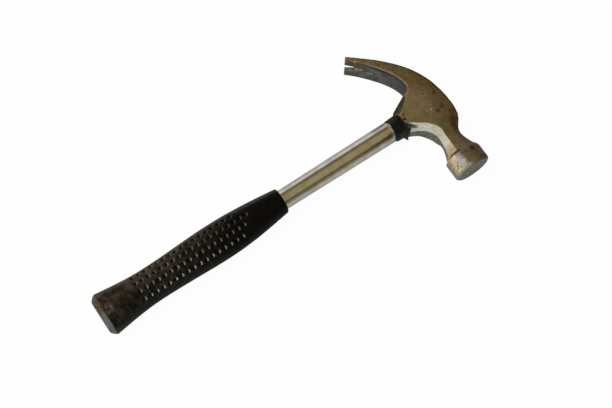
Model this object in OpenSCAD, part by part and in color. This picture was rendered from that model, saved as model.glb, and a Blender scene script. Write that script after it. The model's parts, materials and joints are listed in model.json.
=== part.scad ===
// Claw hammer with a forged steel head, a tubular steel handle and a dimpled rubber grip.
// Millimetres. X runs along the handle from the butt to the crown of the head, Y runs from the
// striking face towards the claw, and Z stands square on the cheeks. X = 0 is the butt's end face.

/* [Part to show] */
// Piece to draw, or all of them

/* [Overall] */
// Height of the striking axis above the butt's end face
strike_x = 305.2; // [290:0.2:335]
// Distance from the handle's axis to the striking face
face_reach = 62.5; // [56:0.5:70]
// Distance from the handle's axis to the claw tips
claw_reach = 68.6; // [62:0.2:76]

/* [Head, side view] */
// Height of the crown above the striking axis
crown_h = 15.2; // [14:0.1:19]
// Distance of the crown's highest point from the handle's axis, on the face side
crown_y = 9.5; // [6:0.5:12]
// Depth of the socket's mouth below the striking axis
socket_drop = 26.4; // [24:0.1:32]
// Width of the socket across its flats, at the mouth
socket_w = 20.8; // [20.4:0.1:23]
// Depth of the claw tips below the striking axis
claw_drop = 33; // [28:0.5:38]
// Angle of the claw's back at the tips, from the striking axis
claw_angle = 50; // [44:1:56]
// Thickness of the claw at its tips
claw_tip_t = 3.4; // [2.4:0.1:4]
// Height of the throat between claw and socket, below the striking axis
throat_drop = 6.5; // [4:0.1:9]
// Distance of the throat from the handle's axis
throat_y = 22.5; // [20.5:0.1:24]
// Radius of the throat
throat_r = 4.5; // [4:0.1:6]

/* [Head, thickness] */
// Thickness over the cheeks
cheek_t = 25.5; // [24:0.1:28]
// Width of the claw at its root
claw_root_w = 27; // [24:0.1:29]
// Width of the claw at its tips
claw_tip_w = 28.8; // [25:0.1:31]
// Width of the neck across its flats
neck_w = 17.6; // [16:0.1:19]
// Distance of the cheek's corner from the handle's axis, where the neck begins
neck_from = 22.2; // [19:0.1:24]
// Distance from the handle's axis at which the neck has its full waist
neck_to = 33; // [31:0.1:35]

/* [Poll] */
// Diameter of the striking poll
poll_d = 30.8; // [28:0.1:32]
// Length of the poll's straight part, with the chamfer
poll_len = 16.2; // [13:0.1:18]
// Width of the chamfer round the striking face
face_chamfer = 1.4; // [0.8:0.1:2.5]
// Bevel on the poll's back edge
poll_bevel = 2.7; // [1:0.1:3.4]

/* [Nail slot] */
// Width of the slot between the claw tips
slot_w = 10; // [8:0.1:11]
// Length of the slot from the tips
slot_len = 20; // [17:0.5:30]
// Width of the slot at its closed end
slot_end_w = 1; // [0.6:0.1:1.6]
// Slope of the slot's walls, which open towards the handle
slot_draft = 1.5; // [0:0.5:3]

/* [Tube handle] */
// Outer diameter of the tube in the head
tube_head_d = 17.7; // [17:0.1:18.1]
// Outer diameter of the tube in the grip
tube_grip_d = 16.2; // [15:0.1:17]
// Wall of the tube
tube_wall = 1.4; // [1:0.1:2]
// Depth of the tube's end below the crown
tube_sink = 2.4; // [2.2:0.1:4]
// Length of the plug that closes the tube in the head
eye_plug_len = 16; // [8:0.5:24]
// Length of the plug that closes the tube in the grip
end_plug_len = 12; // [8:0.5:20]

/* [Seal] */
// Length of the seal below the socket's mouth
seal_len = 7.6; // [6:0.1:10]
// Thickness of the seal at the tube side
seal_thin = 1.1; // [1:0.1:1.4]
// Thickness of the seal at the head side
seal_thick = 1.7; // [1.5:0.1:2.2]
// Reach of the drip on the face side
drip = 2.4; // [0.5:0.1:3]

/* [Grip] */
// Length of the grip
grip_len = 166; // [160:0.2:190]
// Distance of the waist from the butt, on the claw side and on the face side
waist_x = [44, 52]; // [40:1:58]
// Distance of the belly from the butt
belly_x = 107; // [100:1:118]
// Half widths on the claw side, at the butt, waist, belly and front
grip_claw = [15.5, 12.4, 14.5, 10.1]; // [10:0.1:22]
// Half widths on the face side, at the butt, waist, belly and front
grip_face = [19.6, 15.1, 16.3, 10.2]; // [10:0.1:22]
// Half thicknesses at the butt, waist, belly and front
grip_flat = [14.3, 11.9, 12.5, 10.2]; // [10:0.1:16]
// Rounding of the butt's rim
butt_round = 4.9; // [2:0.1:6]
// Rounding of the grip's front rim
front_round = 1; // [0.4:0.1:1.4]
// Thickness of rubber behind the tube's end
butt_wall = 7; // [6:0.5:12]
// Diameter of a dimple
dimple_d = 3; // [2:0.1:3.6]
// Depth of a dimple
dimple_deep = 1; // [0.6:0.1:1.3]
// Distance between dimples in a row
dimple_step = 5.52; // [5.2:0.02:6.2]
// Distance between rows, from the claw side
row_step = [5.7, 6.6, 6.8]; // [5:0.1:7]
// Distance of the first dimple from the butt
dimple_from = 35; // [32:0.2:44]
// Dimples in each row, from the claw side
dimple_count = [17, 19, 18, 17]; // [8:1:20]
// Offset of the dimples from the handle's axis, towards the face
dimple_shift = 0.7; // [0:0.1:1.2]

/* [Hidden] */
// Clearance of the tube in the head, the seal and the grip, and of the plugs in the tube
fit_gap = 0.05;
steel = [0.42, 0.37, 0.29];
chrome = [0.74, 0.73, 0.70];
bright = [0.55, 0.54, 0.52];
pitch = [0.07, 0.07, 0.08];
rubber = [0.10, 0.10, 0.10];
plastic = [0.30, 0.31, 0.33];
// Surplus of a cutting solid past the face that it opens
over = 5;
// Segments of a curve in the side view
steps = 18;

tube_r = tube_head_d / 2;
tube_inner = tube_r - tube_wall;
neck_r = neck_w / 2;
cheek_r = cheek_t / 2;
socket_r = socket_w / 2;
poll_r = poll_d / 2;
mouth_x = strike_x - socket_drop;
tube_top = strike_x + crown_h - tube_sink;
// Distance of the poll's shoulder from the handle's axis
shoulder_y = face_reach - poll_len;
// Roundness of the grip's section at the butt and from the waist on, where 2 is an ellipse
squareness = [3.3, 2.35];
// Shape of the butt's rim, where 1 is a quarter circle and 2 a straight chamfer
rim_shape = 1.6;
// Share of a half width that an octagon's flat takes
octagon = tan(22.5);

// Points on a cubic curve from a to d, with the handles b and c
function curve(a, b, c, d, n = steps) = [
    for (i = [0:n]) let(t = i / n, s = 1 - t)
        s * s * s * a + 3 * s * s * t * b + 3 * s * t * t * c + t * t * t * d
];
// Points on an arc
function arc(centre, r, from, to, n) = [
    for (i = [0:n]) let(w = from + (to - from) * i / n) centre + r * [cos(w), sin(w)]
];
// List without its first point, and list in the opposite order
function rest(list) = [for (i = [1:len(list) - 1]) list[i]];
function turned(list) = [for (i = [len(list) - 1:-1:0]) list[i]];
// Smooth step from 0 to 1
function ease(t) = let(s = min(1, max(0, t))) (1 - cos(180 * s)) / 2;
function mix(a, b, t) = a + (b - a) * t;
// Value at share t of an evenly spaced list
function along(list, t) = let(k = t * (len(list) - 1), i = min(len(list) - 2, floor(k)))
    mix(list[i], list[i + 1], ease(k - i));

// Side view of the head. The first value is the height over the striking axis.
tip = [-claw_drop, claw_reach];
tip_dir = [sin(claw_angle), -cos(claw_angle)];
tip_in = tip - claw_tip_t * [cos(claw_angle), sin(claw_angle)];
crown = [crown_h, -crown_y];
corner = [crown_h - 1.7, -neck_from];
waist_top = [neck_r, -neck_to];
waist_low = [-neck_r, -neck_to];
throat = [-throat_drop, throat_y];
mouth_back = [-socket_drop, socket_r];
mouth_front = [-socket_drop, -socket_r];
throat_mid = throat - [throat_r, 0];
// Angle at which the socket's back leaves the throat's arc, so that the two are tangent
back_run = mouth_back - throat_mid;
back_turn = atan2(back_run[1], back_run[0]) + acos(throat_r / norm(back_run));

claw_back = curve(tip, tip + 30.3 * tip_dir, crown + [0, 40.7], crown);
crown_end = curve(crown, crown - [0, 4.5], corner + [0.7, 4], corner, 6);
neck_top = curve(corner, corner - [2.6, 5], waist_top + [0, 5], waist_top, 10);
underside = curve(mouth_front, mouth_front + [12.2, -3.1], waist_low + [0, 10.5], waist_low, 24);
throat_arc = arc(throat_mid, throat_r, back_turn, 0, 8);
claw_belly = curve(throat, throat + [0.2, 13.6], tip_in + 11.6 * tip_dir, tip_in);
// Half size across flats of the octagonal neck, which flares from its waist to the poll
flare_end = (poll_r - poll_bevel / 2) * cos(22.5);
function flare(y) = mix(neck_r, flare_end,
    pow(min(1, max(0, (y - neck_to) / (shoulder_y - neck_to))), 1.6));
// Distances from the handle's axis at which the flare is drawn, ending inside the poll
flare_y = concat([for (i = [1:8]) mix(neck_to, shoulder_y, i / 8)], [shoulder_y + 1]);
neck_end = shoulder_y + 1;

side_view = concat(
    claw_back, rest(crown_end), rest(neck_top),
    [for (y = flare_y) [flare(y), -y]],
    [for (y = turned(flare_y)) [-flare(y), -y]],
    turned(underside), [mouth_back], throat_arc, rest(claw_belly)
);

// Half thickness of the head at a distance y from the handle's axis
function half_t(y) = y > throat_y
    ? mix(claw_root_w, claw_tip_w, ease((y - throat_y) / (claw_reach - throat_y))) / 2
    : y > 0
        ? mix(cheek_t, claw_root_w, ease(y / throat_y)) / 2
        : y > -neck_to
            ? mix(cheek_r, neck_r, ease((-y - neck_from + 5) / (neck_to - neck_from + 5)))
            : flare(-y);

thick_y = concat(
    [for (i = [0:12]) mix(claw_reach + over, throat_y, i / 12)],
    [for (i = [1:4]) mix(throat_y, 0, i / 4)],
    [for (i = [0:12]) mix(5 - neck_from, -neck_to, i / 12)],
    [for (i = [1:7]) mix(-neck_to, -neck_end, i / 7)], [-neck_end - over]
);

// Inward normal at station i of a line whose solid lies on its left
function inward(line, i) = let(
    a = line[max(0, i - 1)], b = line[min(len(line) - 1, i + 1)], d = [b[0] - a[0], b[1] - a[1]]
) [-d[1], d[0]] / norm(d);

// Cutter that takes a chamfer off an edge. A station holds a point of the edge, the height at
// which the chamfer starts there and its width; it ends at the head's thickness.
module edge_cutter(line) {
    n = len(line) - 1;
    sections = [for (i = [0:n]) let(
        w = inward(line, i), p = line[i], z1 = half_t(p[1] + p[3] * w[1]),
        run = [w[0] * p[3], w[1] * p[3], z1 - p[2]], foot = [p[0], p[1], p[2]],
        a = foot - 0.35 * run, b = foot + 1.35 * run
    ) [a, b, [a[0] - w[0], a[1] - w[1], b[2]]]];
    polyhedron(
        points = [for (s = sections) for (p = s) p],
        faces = concat(
            [[0, 1, 2]],
            [for (i = [0:n - 1]) for (j = [0:2]) let(k = 3 * i, m = (j + 1) % 3)
                [k + j, k + 3 + j, k + 3 + m]],
            [for (i = [0:n - 1]) for (j = [0:2]) let(k = 3 * i, m = (j + 1) % 3)
                [k + j, k + 3 + m, k + m]],
            [[3 * n + 2, 3 * n + 1, 3 * n]]
        )
    );
}

// Stations along a list of points, with evenly spaced starts and widths of the chamfer
function stations(points, low, width) = [
    for (i = [0:len(points) - 1]) let(t = i / (len(points) - 1))
        [points[i][0], points[i][1], along(low, t), along(width, t)]
];
// Stations down the flare of the neck, whose section is a regular octagon
function flare_stations(side) = [
    for (i = [0:9]) let(y = mix(neck_to + 0.9, neck_end + over, i / 9), r = flare(y))
        [side * r, -y, r * octagon, r * (1 - octagon)]
];

// Forged chamfers of the neck, the socket and the underside, on both cheeks
module forged_edges() {
    flat = neck_r * octagon;
    wide = neck_r - flat;
    lip = socket_r * octagon;
    rim = socket_r - lip;
    under_line = concat(
        [[mouth_front[0] - over, mouth_front[1] + 1, lip, rim]],
        stations(underside, [lip, 5.4, 7.4, 7.6, flat], [rim, 4.4, 5.2, 6.2, wide]),
        flare_stations(-1)
    );
    top_line = concat(
        turned(flare_stations(1)),
        stations(turned(neck_top), [flat, flat, 9], [wide, wide, 3]),
        [[corner[0] + 0.3, corner[1] + 1.2, 11.4, 0.8]]
    );
    back_line = concat(
        stations(turned(throat_arc), [cheek_r - 0.8, 10.4], [0.4, 1.4]),
        rest(stations([for (i = [0:6]) mix(throat_arc[0], mouth_back, i / 6)],
            [10.4, 7, lip], [1.4, 4.4, rim])),
        [[mouth_back[0] - over, mouth_back[1] - 2, lip, rim]]
    );
    for (side = [0, 1]) mirror([0, 0, side]) {
        edge_cutter(under_line);
        edge_cutter(top_line);
        edge_cutter(back_line);
    }
}

// Wedge of the nail slot. It widens towards the tips and, by the draft, towards the handle.
module nail_slot() {
    top = crown_h + over;
    low = -claw_drop - 2 * over;
    y0 = claw_reach - slot_len;
    y1 = claw_reach + over;
    grow = tan(slot_draft) * (top - low) / 2;
    w0 = slot_end_w / 2;
    w1 = w0 + (slot_w / 2 - w0) * (y1 - y0) / slot_len;
    g = [grow, -min(grow, w0 * 0.7)];
    polyhedron(
        points = concat(
            [for (p = [[y0, -w0 - g[1]], [y1, -w1 - g[1]], [y1, w1 + g[1]], [y0, w0 + g[1]]])
                [top, p[0], p[1]]],
            [for (p = [[y0, -w0 - g[0]], [y1, -w1 - g[0]], [y1, w1 + g[0]], [y0, w0 + g[0]]])
                [low, p[0], p[1]]]
        ),
        faces = [[0, 2, 1], [0, 3, 2], [4, 5, 6], [4, 6, 7],
            [0, 5, 4], [0, 1, 5], [1, 6, 5], [1, 2, 6],
            [2, 7, 6], [2, 3, 7], [3, 4, 7], [3, 0, 4]]
    );
}

// Poll as a turned form about the striking axis
module poll() rotate([90, 0, 0]) rotate_extrude($fn = 72) polygon([
    [0, shoulder_y - poll_bevel / 2], [poll_r - poll_bevel, shoulder_y - poll_bevel / 2],
    [poll_r, shoulder_y + poll_bevel / 2], [poll_r, face_reach - face_chamfer],
    [poll_r - face_chamfer, face_reach], [0, face_reach]
]);

module head() color(steel) translate([strike_x, 0, 0]) difference() {
    union() {
        difference() {
            intersection() {
                translate([0, 0, -claw_tip_w]) linear_extrude(2 * claw_tip_w) polygon(side_view);
                translate([-claw_drop - over, 0, 0]) rotate([0, 90, 0])
                    linear_extrude(claw_drop + crown_h + 2 * over) polygon(concat(
                        [for (y = thick_y) [-half_t(y), y]],
                        [for (y = turned(thick_y)) [half_t(y), y]]
                    ));
            }
            forged_edges();
        }
        poll();
    }
    nail_slot();
    translate([-socket_drop - over, 0, 0]) rotate([0, 90, 0])
        cylinder(r = tube_r + fit_gap, h = socket_drop + crown_h + 2 * over, $fn = 72);
}

// Length of tube inside the grip, from the rubber behind it to the grip's front
module handle_tube() color(chrome) rotate([0, 90, 0]) rotate_extrude($fn = 72) polygon([
    [tube_grip_d / 2, butt_wall], [tube_grip_d / 2, grip_len],
    [tube_r, mouth_x - seal_len], [tube_r, tube_top],
    [tube_inner, tube_top], [tube_inner, mouth_x - seal_len],
    [tube_grip_d / 2 - tube_wall, grip_len], [tube_grip_d / 2 - tube_wall, butt_wall]
]);

// Turned plug along X with a lead chamfer at its inner end
module plug(r, from, to, lead) rotate([0, 90, 0]) rotate_extrude($fn = 60) polygon([
    [0, from], [r, from], [r, to - sign(to - from) * lead],
    [r - lead, to], [0, to]
]);

module eye_plug() color(bright)
    plug(tube_inner - fit_gap, tube_top, tube_top - eye_plug_len, 1);

module tube_end_plug() color(plastic)
    plug(tube_grip_d / 2 - tube_wall - fit_gap, butt_wall, butt_wall + end_plug_len, 1);

// Ragged ring of sealing compound between the tube and the socket's mouth
module seal_collar() {
    rings = 6;
    around = 48;
    color(pitch) difference() {
        polyhedron(
            points = concat(
                [for (i = [0:rings]) for (j = [0:around - 1]) let(
                    t = i / rings, w = 360 * j / around,
                    ragged = 0.5 * sin(2 * w + 40) + 0.4 * sin(5 * w) + 0.3 * sin(11 * w + 70),
                    lump = 0.22 * sin(5 * w + 200 * t) + 0.14 * sin(9 * w - 330 * t),
                    point = drip * exp(-pow((w - 196) / 8, 2)) * exp(-pow((t - 0.93) / 0.16, 2)),
                    r = tube_r + mix(seal_thin, seal_thick, pow(t, 0.7)) + lump * (1 - t) + point
                        - 0.5 * exp(-t * 9)
                ) [mouth_x - (seal_len - ragged - 0.6) * (1 - t), r * cos(w), r * sin(w)]],
                [[mouth_x - seal_len, 0, 0], [mouth_x, 0, 0]]
            ),
            faces = concat(
                [for (i = [0:rings - 1]) for (j = [0:around - 1]) let(
                    k = (j + 1) % around, a = i * around) [a + j, a + around + k, a + around + j]],
                [for (i = [0:rings - 1]) for (j = [0:around - 1]) let(
                    k = (j + 1) % around, a = i * around) [a + j, a + k, a + around + k]],
                [for (j = [0:around - 1])
                    [(rings + 1) * around, (j + 1) % around, j]],
                [for (j = [0:around - 1])
                    [(rings + 1) * around + 1, rings * around + j, rings * around + (j + 1) % around]]
            )
        );
        translate([mouth_x - seal_len - over, 0, 0]) rotate([0, 90, 0])
            cylinder(r = tube_r + fit_gap, h = seal_len + 2 * over, $fn = 72);
    }
}

// Half size of the grip at x, from its sizes at the butt, waist, belly and front
function grip_half(size, x, waist) =
    x < waist ? mix(size[1], size[0], 1 - cos(90 * (waist - x) / waist))
    : x < belly_x ? mix(size[1], size[2], ease((x - waist) / (belly_x - waist)))
    : mix(size[2], size[3], 1 - cos(90 * (x - belly_x) / (grip_len - belly_x)));
// Half width of the grip at x on the claw side or, below zero, on the face side
function grip_side(x, y) =
    y > 0 ? grip_half(grip_claw, x, waist_x[0]) : grip_half(grip_face, x, waist_x[1]);
function grip_height(x) = grip_half(grip_flat, x, waist_x[0]);
function roundness(x) = mix(squareness[0], squareness[1], ease(x / waist_x[0]));
function bulge(v, k) = sign(v) * pow(abs(v), 2 / k);
function grip_point(x, w, inset) = [
    x,
    bulge(cos(w), roundness(x)) * (grip_side(x, cos(w)) - inset),
    bulge(sin(w), roundness(x)) * (grip_height(x) - inset)
];

// Stations along the grip, each with its inset for the rounded rims
grip_stations = concat(
    [for (i = [0:5]) let(w = 18 * i)
        [butt_round * (1 - pow(cos(w), rim_shape)), butt_round * (1 - pow(sin(w), rim_shape))]],
    [for (i = [1:26]) [mix(butt_round, grip_len - front_round, i / 27), 0]],
    [for (i = [0:3]) let(w = 30 * i)
        [grip_len - front_round * (1 - sin(w)), front_round * (1 - cos(w))]]
);

// One dimple's cutter, square to the grip's surface at x and y
module dimple(x, y) {
    a = grip_side(x, y);
    b = grip_height(x);
    k = roundness(x);
    q = abs(y) / a;
    z = b * pow(1 - pow(q, k), 1 / k);
    lean = atan2(sign(y) * pow(q, k - 1) / a, pow(z / b, k - 1) / b);
    translate([x, y, z]) rotate([-lean, 0, 0]) translate([0, 0, -dimple_deep])
        cylinder(d = dimple_d, h = dimple_deep + 2, $fn = 12);
}

module grip() {
    around = 40;
    n = len(grip_stations);
    color(rubber) difference() {
        polyhedron(
            points = concat(
                [for (s = grip_stations) for (j = [0:around - 1])
                    grip_point(s[0], 360 * j / around, s[1])],
                [[0, 0, 0], [grip_len, 0, 0]]
            ),
            faces = concat(
                [for (i = [0:n - 2]) for (j = [0:around - 1]) let(
                    k = (j + 1) % around, a = i * around) [a + j, a + around + k, a + around + j]],
                [for (i = [0:n - 2]) for (j = [0:around - 1]) let(
                    k = (j + 1) % around, a = i * around) [a + j, a + k, a + around + k]],
                [for (j = [0:around - 1]) [n * around, (j + 1) % around, j]],
                [for (j = [0:around - 1])
                    [n * around + 1, (n - 1) * around + j, (n - 1) * around + (j + 1) % around]]
            )
        );
        translate([butt_wall, 0, 0]) rotate([0, 90, 0])
            cylinder(r = tube_grip_d / 2 + fit_gap, h = grip_len, $fn = 72);
        for (side = [0, 1]) mirror([0, 0, side]) for (row = [0:3]) {
            y = sign(1.5 - row) * row_step[1] / 2 + (row == 0 ? row_step[0] : row == 3 ? -row_step[2] : 0);
            for (i = [0:dimple_count[row] - 1])
                dimple(dimple_from + dimple_step * i, y - dimple_shift);
        }
    }
}

head();
handle_tube();
eye_plug();
seal_collar();
grip();
tube_end_plug();
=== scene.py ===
"""Looks of a claw hammer that lies on its side: forged head, chromed tube, compound and rubber grip.

Metres. X runs from the butt to the crown of the head, Y from the striking face to the claw,
and Z stands square on the cheeks. Sizes named here are in millimetres and pass through MM.
"""

import json
import math
from types import SimpleNamespace

import bmesh
import bpy
import numpy as np
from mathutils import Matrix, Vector

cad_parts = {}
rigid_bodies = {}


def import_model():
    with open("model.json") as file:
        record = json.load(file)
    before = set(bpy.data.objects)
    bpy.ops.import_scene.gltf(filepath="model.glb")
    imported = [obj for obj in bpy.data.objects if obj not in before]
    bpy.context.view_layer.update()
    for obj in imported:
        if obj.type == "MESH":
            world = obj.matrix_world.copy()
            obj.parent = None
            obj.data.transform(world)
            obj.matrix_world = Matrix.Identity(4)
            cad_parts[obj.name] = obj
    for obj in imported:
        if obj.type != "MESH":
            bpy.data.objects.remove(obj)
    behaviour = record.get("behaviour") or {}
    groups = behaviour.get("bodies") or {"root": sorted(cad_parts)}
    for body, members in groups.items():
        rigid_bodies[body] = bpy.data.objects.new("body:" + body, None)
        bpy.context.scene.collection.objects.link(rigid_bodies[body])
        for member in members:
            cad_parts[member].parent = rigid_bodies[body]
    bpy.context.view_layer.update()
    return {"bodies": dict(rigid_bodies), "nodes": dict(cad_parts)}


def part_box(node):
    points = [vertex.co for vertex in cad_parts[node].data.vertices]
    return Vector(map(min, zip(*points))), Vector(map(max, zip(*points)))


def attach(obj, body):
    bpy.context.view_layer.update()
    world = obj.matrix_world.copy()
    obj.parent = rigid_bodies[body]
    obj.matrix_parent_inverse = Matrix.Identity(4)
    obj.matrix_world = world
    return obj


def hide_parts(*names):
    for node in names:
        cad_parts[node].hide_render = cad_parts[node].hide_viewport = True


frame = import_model()
MM = 0.001
BODY = next(iter(frame["bodies"]))


def node_box(name):
    """Lowest and highest corner of a solid, in millimetres."""
    low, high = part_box(name)
    return np.array(low) / MM, np.array(high) / MM


# Camera of the photograph
CAMERA_AT = (-10.1, -296.7, 1020.5)
CAMERA_TO = (180.0, -13.0, 0.0)
LENS = 81.2

# Places that the frame gives
HEAD_LOW, HEAD_HIGH = node_box("head")
TUBE_LOW, TUBE_HIGH = node_box("handle_tube")
GRIP_LOW, GRIP_HIGH = node_box("grip")
SEAL_LOW, SEAL_HIGH = node_box("seal_collar")
PLUG_LOW, PLUG_HIGH = node_box("eye_plug")
TUBE_R = TUBE_HIGH[2]
GRIP_LEN = GRIP_HIGH[0]
FLOOR_Z = min(HEAD_LOW[2], GRIP_LOW[2])


# Smooth noise, the same on every run

def lattice(cell, seed):
    """Pseudo-random value from -1 to 1 of each cell corner."""
    c = cell.astype(np.int64)
    h = (c[..., 0] * 73856093) ^ (c[..., 1] * 19349663) ^ (c[..., 2] * 83492791) ^ (seed * 2654435)
    h = ((h ^ (h >> 13)) * 1274126177) & 0xFFFFFFFF
    h = ((h ^ (h >> 15)) * 668265263) & 0xFFFFFFFF
    return ((h >> 8) & 0xFFFF) / 32767.5 - 1


def field(points, size, seed=0):
    """Smooth noise from -1 to 1 with lumps of the given size."""
    p = np.asarray(points, float) / size
    low = np.floor(p)
    t = p - low
    t = t * t * (3 - 2 * t)
    value = 0
    for corner in range(8):
        step = np.array([corner & 1, corner >> 1 & 1, corner >> 2 & 1])
        weight = np.prod(np.where(step, t, 1 - t), axis=-1)
        value = value + weight * lattice(low + step, seed)
    return value


def ease(t):
    """Smooth step from 0 to 1."""
    s = np.clip(t, 0, 1)
    return (1 - np.cos(np.pi * s)) / 2


def mix(a, b, t):
    return a + (b - a) * t


# Pieces

def finish_piece(piece, material, node):
    """Gives a piece its material and body, and lets it stand for its solid."""
    piece.data.materials.clear()
    piece.data.materials.append(material)
    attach(piece, BODY)
    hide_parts(node)


def new_object(name, data):
    """Object in the scene."""
    made = bpy.data.objects.new(name, data)
    bpy.context.scene.collection.objects.link(made)
    return made


def new_piece(name, points, faces, crease=40):
    """Mesh object from points in millimetres, smooth but for edges sharper than crease degrees."""
    mesh = bpy.data.meshes.new(name)
    mesh.from_pydata([tuple(p) for p in np.asarray(points) * MM], [], faces)
    mesh.validate()
    mesh.update()
    mesh.shade_smooth()
    mesh.set_sharp_from_angle(angle=math.radians(crease))
    return new_object(name, mesh)


def ring_faces(rings, around, joined=False):
    """Quads between rings of points. The ends are closed by a face each, or joined to one another."""
    faces = []
    for i in range(rings if joined else rings - 1):
        a, b = i * around, (i + 1) % rings * around
        faces += [(a + j, b + j, b + (j + 1) % around, a + (j + 1) % around) for j in range(around)]
    if not joined:
        faces.append(tuple(range(around)))
        faces.append(tuple((rings - 1) * around + j for j in reversed(range(around))))
    return faces


def turned(x, radius, turn):
    """Points about the handle's axis."""
    x, radius, turn = np.broadcast_arrays(x, radius, turn)
    return np.stack([x, radius * np.cos(turn), radius * np.sin(turn)], -1)


def lathe(name, profile, around, joined=False):
    """Turned piece about the handle's axis. profile holds (x, radius) pairs, in order along the skin."""
    turn = -np.linspace(0, 2 * np.pi, around, endpoint=False)
    points = np.vstack([turned(x, r, turn) for x, r in profile])
    return new_piece(name, points, ring_faces(len(profile), around, joined))


# Forged head

VOXEL = 0.45
SOFTEN_STEPS = 3
# Swell that gives back what softening takes off the corners
SWELL = 0.03
# Least gap between the skin and the solid's box
BOX_GAP = 0.004
# Directions across and along the socket's claw side, which runs obliquely over the cheek
SOCKET_ACROSS = (-0.6, 0.8, 0.0)
SOCKET_ALONG = (0.8, 0.6, 0.0)
# Middle and size of the small three-cornered nick beside the compound, with the ways its sides face
NICK_AT = (281.4, -1.2)
NICK_SIZE = 1.9
NICK_SIDES = (-122, -2, 118)
NICK_DEPTH = 0.35
# Middle and radius of dents in the skin, with their depth
DENTS = [
    (301.3, -3.3, 12.7, 1.1, 0.12), (313, 22.3, 12.6, 1.2, 0.1), (313.5, 4.9, 12.7, 1.3, 0.14),
    (306.9, -9.7, 12.7, 1, 0.12), (310.9, -50.1, 14.3, 1.1, 0.16), (317, -61.2, 10, 1.8, 0.3),
    (293.4, -56.4, 9.9, 0.8, 0.12), (294.9, -54, 11.4, 0.6, 0.12), (278, 58.8, 13.9, 0.9, 0.12),
    (291, 46.9, 13.6, 1.1, 0.1), (301, 40.2, 13.4, 1.2, 0.12), (303, 4, -12.7, 1.4, 0.12),
    (310, -30, -7.5, 1, 0.12), (296, 12, -12.7, 1.1, 0.1), (309, -55, -14.9, 1.3, 0.16),
]
LOOSE_DENTS = 90
# Height, lump size and seed of the unevenness of the skin
UNEVEN = ((0.05, 9, 1), (0.025, 3.1, 2), (0.01, 1.1, 3))
# Where the neck flares into the poll, over which width it is rounded and how often
FLARE_Y = -46.0
FLARE_WIDTH = 3.2
FLARE_STEPS = 60


def solid_skin(node, voxel):
    """Even quad skin of a solid, as a new mesh."""
    mesh = frame["nodes"][node].data.copy()
    bm = bmesh.new()
    bm.from_mesh(mesh)
    bmesh.ops.remove_doubles(bm, verts=bm.verts, dist=0.002 * MM)
    bm.to_mesh(mesh)
    bm.free()
    piece = new_object("skin", mesh)
    remesh = piece.modifiers.new("remesh", "REMESH")
    remesh.mode = "VOXEL"
    remesh.voxel_size = voxel * MM
    smooth = piece.modifiers.new("soften", "SMOOTH")
    smooth.factor = 0.5
    smooth.iterations = SOFTEN_STEPS
    graph = bpy.context.evaluated_depsgraph_get()
    skin = bpy.data.meshes.new_from_object(piece.evaluated_get(graph))
    bpy.data.objects.remove(piece)
    return skin


def read_vectors(source, what):
    """Places or normals of a mesh's points, a row each."""
    values = np.empty(3 * len(source))
    source.foreach_get(what, values)
    return values.reshape(-1, 3)


def move_points(mesh, points):
    """Puts the points of a mesh at places in millimetres."""
    mesh.vertices.foreach_set("co", (points * MM).ravel())
    mesh.update()


def soften(mesh, points, passes, share=1.0):
    """Moves each point towards the middle of its neighbours, pass by pass, by a share that may vary."""
    edges = np.empty(2 * len(mesh.edges), int)
    mesh.edges.foreach_get("vertices", edges)
    a, b = edges.reshape(-1, 2).T
    size = len(points)
    count = np.maximum(np.bincount(a, minlength=size) + np.bincount(b, minlength=size), 1)
    soft = points.copy()
    for _ in range(passes):
        total = [np.bincount(a, soft[b, k], size) + np.bincount(b, soft[a, k], size) for k in range(3)]
        soft = mix(soft, np.stack(total, -1) / count[:, None], share)
    return soft


def keep_value(mesh, name, values):
    """Stores one number per point for a material to read."""
    layer = mesh.attributes.new(name, "FLOAT", "POINT")
    layer.data.foreach_set("value", np.asarray(values, float))


def forged_head(material):
    mesh = solid_skin("head", VOXEL)
    points = read_vectors(mesh.vertices, "co") / MM
    normals = read_vectors(mesh.vertex_normals, "vector")
    # The neck runs into the poll without a step, but for the side that faces the handle
    flare = np.exp(-((points[:, 1] - FLARE_Y) / FLARE_WIDTH) ** 2) * ease((normals[:, 0] + 0.35) / 0.3)
    points = soften(mesh, points, FLARE_STEPS, 0.6 * flare[:, None])
    move_points(mesh, points)
    normals = read_vectors(mesh.vertex_normals, "vector")
    proud = points - soften(mesh, points, 10)
    edge = np.einsum("ij,ij->i", proud, normals)
    push = SWELL + sum(height * field(points, size, seed) for height, size, seed in UNEVEN)
    rng = np.random.default_rng(7)
    picked = rng.choice(len(points), LOOSE_DENTS, replace=False)
    loose = [(*points[i], rng.uniform(0.3, 0.9), rng.uniform(0.04, 0.12)) for i in picked]
    for x, y, z, r, deep in DENTS + loose:
        away = np.linalg.norm(points - (x, y, z), axis=1) / r
        push -= deep * np.exp(-(away * 1.3) ** 4)
    # Nick in the upper cheek beside the socket
    near = (points[:, :2] - NICK_AT) / NICK_SIZE
    reach = np.max([near @ (math.cos(w), math.sin(w)) for w in np.radians(NICK_SIDES)], axis=0)
    nick = ease((0.75 - reach) / 0.35) * (points[:, 2] > 11)
    push -= NICK_DEPTH * nick
    # Rim of the striking face, rolled over and nicked by use
    rim = np.exp(-((points[:, 1] - HEAD_LOW[1] - 1.2) / 1.3) ** 2)
    push -= 0.1 * rim * (edge > 0.04) * np.clip(field(points, 2.3, 5) + 0.2, 0, 1) * 2
    keep_value(mesh, "edge", edge)
    keep_value(mesh, "nick", nick)
    keep_value(mesh, "outward", proud[:, 0])
    points = points + normals * push[:, None]
    move_points(mesh, np.clip(points, HEAD_LOW + BOX_GAP, HEAD_HIGH - BOX_GAP))
    mesh.shade_smooth()
    finish_piece(new_object("forged_head", mesh), material, "head")


# Tube and the plug in the eye

TUBE_WALL = 1.4
TUBE_EDGE = 0.25
# Radius in the grip, and where the tube has its full radius
TUBE_GRIP_R = 8.1
TUBE_MOUTH = SEAL_LOW[0]


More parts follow.
